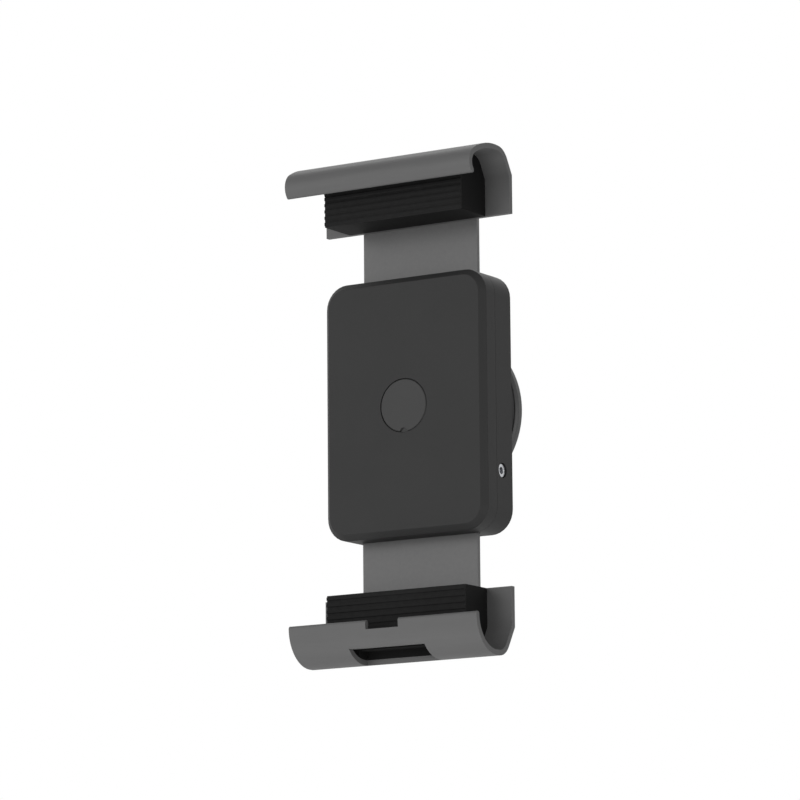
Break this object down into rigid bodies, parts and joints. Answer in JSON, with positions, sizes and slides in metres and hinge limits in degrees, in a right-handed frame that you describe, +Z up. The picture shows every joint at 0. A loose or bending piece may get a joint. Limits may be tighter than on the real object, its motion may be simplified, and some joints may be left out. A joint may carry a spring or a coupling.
{
  "type": "tablet wall holder",
  "caption": "Wall-mounted tablet holder with two hooked metal jaws that slide together on a geared, swivelling housing.",
  "frame": {"origin": "centre of the wall plate's back face, on the swivel axis", "axes": "+Y into the wall along the swivel axis, +Z up along the jaws' travel, +X to the viewer's right"},
  "size_m": [0.081, 0.0507, 0.1894],
  "materials": {
    "jaw_aluminium": "satin anodised",
    "housing_plastic": "fine spark texture",
    "cap_plastic": "satin",
    "core_plastic": "matt moulded",
    "grip_rubber": "matt, ridged",
    "plate_steel": "satin powder coat",
    "painted_steel": "powder coat",
    "zinc_steel": "bright zinc",
    "nylon": "smooth",
    "brass": "turned"
  },
  "bodies": {
    "wall_mount": {"wall_plate": "painted_steel", "slip_ring": "nylon", "swivel_bolt": "zinc_steel", "thrust_washer": "zinc_steel", "disc_spring": "zinc_steel"},
    "carriage": {"rear_housing": "housing_plastic", "front_cover": "housing_plastic", "cover_screws": "zinc_steel", "access_cap": "cap_plastic", "brake_shoe": "nylon", "lock_nut": "brass", "retaining_ring": "zinc_steel"},
    "upper_slide": {"upper_slide_plate": "plate_steel", "upper_jaw": "jaw_aluminium", "upper_jaw_core": "core_plastic", "upper_grip": "grip_rubber", "upper_lip_liner": "grip_rubber", "upper_jaw_screws": "zinc_steel"},
    "lower_slide": {"lower_slide_plate": "plate_steel", "lower_jaw": "jaw_aluminium", "lower_jaw_core": "core_plastic", "lower_grip": "grip_rubber", "lower_lip_liner": "grip_rubber", "lower_jaw_screws": "zinc_steel"},
    "gear": {"pinion": "zinc_steel"},
    "lock": {"lock_screw": "zinc_steel"}
  },
  "joints": [
    {"name": "swivel", "type": "hinge", "parent": "wall_mount", "child": "carriage", "pos_m": [0, 0, 0], "axis": [0, 1, 0], "continuous": true},
    {"name": "upper_jaw_slide", "type": "slide", "parent": "carriage", "child": "upper_slide", "axis": [0, 0, 1], "range_m": [-0.02, 0.022]},
    {"name": "lower_jaw_slide", "type": "slide", "parent": "carriage", "child": "lower_slide", "axis": [0, 0, -1], "range_m": [-0.02, 0.022]},
    {"name": "pinion_turn", "type": "hinge", "parent": "carriage", "child": "gear", "pos_m": [0, -0.0205, 0], "axis": [0, 1, 0], "range_deg": [-84, 92.5]},
    {"name": "lock_turn", "type": "hinge", "parent": "carriage", "child": "lock", "pos_m": [0.03, -0.0205, -0.026], "axis": [-1, 0, 0], "range_deg": [0, 180]}
  ],
  "couplings": [
    {"joint": "lower_jaw_slide", "follows": "upper_jaw_slide", "ratio": 1},
    {"joint": "pinion_turn", "follows": "upper_jaw_slide", "rad_per_m": 72.727}
  ]
}
